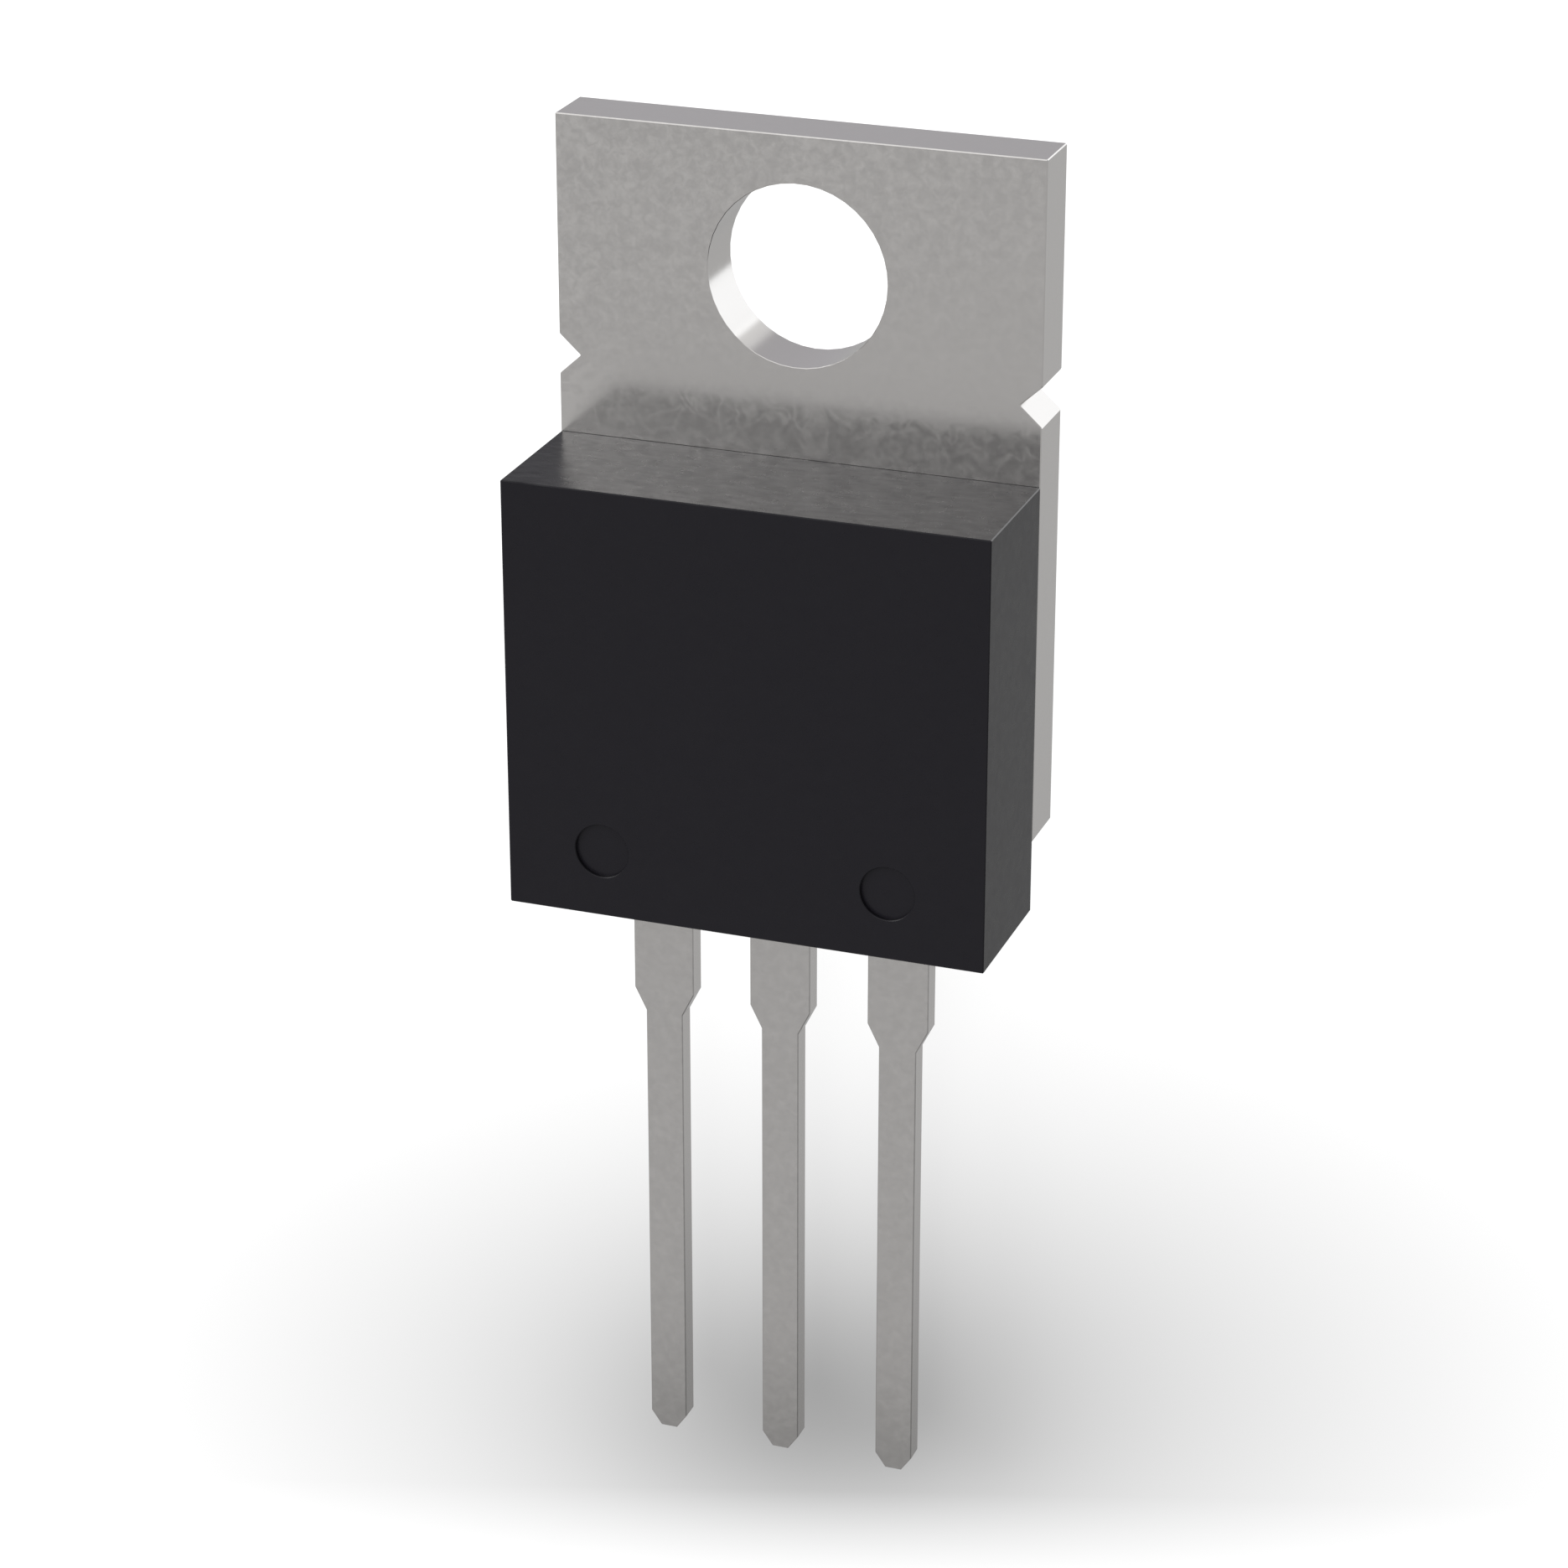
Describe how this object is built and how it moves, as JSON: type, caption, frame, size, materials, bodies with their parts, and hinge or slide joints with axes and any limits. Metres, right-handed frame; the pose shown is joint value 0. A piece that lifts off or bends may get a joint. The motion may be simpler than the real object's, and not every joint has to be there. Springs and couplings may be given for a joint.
{
  "type": "triac",
  "caption": "Triac in a flat moulded body on a metal mounting tab with a round screw hole, with leads in a row from the other end.",
  "frame": {"origin": "centre of the tab hole, on the mounting base (the back face of the tab)", "axes": "+X to the right seen from the front of the body, +Y along the tab towards its free end, +Z out of the front, away from the mounting base"},
  "size_m": [0.01, 0.0285, 0.0044],
  "materials": {
    "tinned_copper": "matte tin plate over copper",
    "moulded_epoxy": "satin moulded black epoxy",
    "metallised_silicon": "silicon with a metallised face",
    "solder": "dull solder",
    "aluminium_wire": "bright drawn wire"
  },
  "bodies": {
    "root": {"tab_and_centre_lead": "tinned_copper", "main_terminal_lead": "tinned_copper", "gate_lead": "tinned_copper", "moulded_body": "moulded_epoxy", "chip": "metallised_silicon", "chip_solder": "solder", "main_bond_wire": "aluminium_wire", "gate_bond_wire": "aluminium_wire"}
  },
  "joints": []
}
